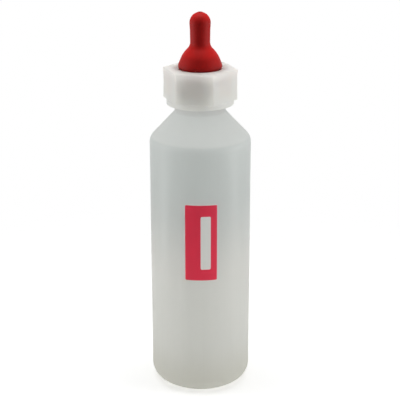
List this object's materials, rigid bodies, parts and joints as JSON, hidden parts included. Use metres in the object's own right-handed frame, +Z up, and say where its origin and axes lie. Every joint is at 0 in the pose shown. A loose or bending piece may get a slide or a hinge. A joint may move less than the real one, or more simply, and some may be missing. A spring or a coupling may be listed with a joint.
{
  "type": "lamb feeding bottle",
  "caption": "Tall round translucent bottle with a sloped shoulder, a hexagonal screw cap and a red rubber teat for feeding lambs.",
  "frame": {"origin": "on the bottle's axis, in the plane of the ring that it stands on", "axes": "+Z up along the bottle's axis to the teat's tip; the label faces -Y"},
  "size_m": [0.08, 0.0804, 0.3051],
  "materials": {
    "milky_polyethylene": "translucent milky polyethylene, satin",
    "white_polypropylene": "slightly translucent white polypropylene, satin",
    "red_rubber": "smooth moulded red rubber, soft sheen",
    "crimson_film": "smooth crimson label film, satin"
  },
  "bodies": {
    "bottle_body": {"bottle": "milky_polyethylene", "label": "crimson_film"},
    "teat_body": {"teat": "red_rubber"},
    "cap_body": {"screw_cap": "white_polypropylene"}
  },
  "joints": [
    {"name": "teat_lift", "type": "slide", "parent": "bottle_body", "child": "teat_body", "axis": [0, 0, 1], "range_m": [0, 0.025]},
    {"name": "cap_unscrew", "type": "hinge", "parent": "teat_body", "child": "cap_body", "pos_m": [0, 0, 0.25], "axis": [0, 0, 1], "range_deg": [0, 1800]}
  ],
  "couplings": [
    {"joint": "teat_lift", "follows": "cap_unscrew", "m_per_rad": 0.00079577}
  ]
}
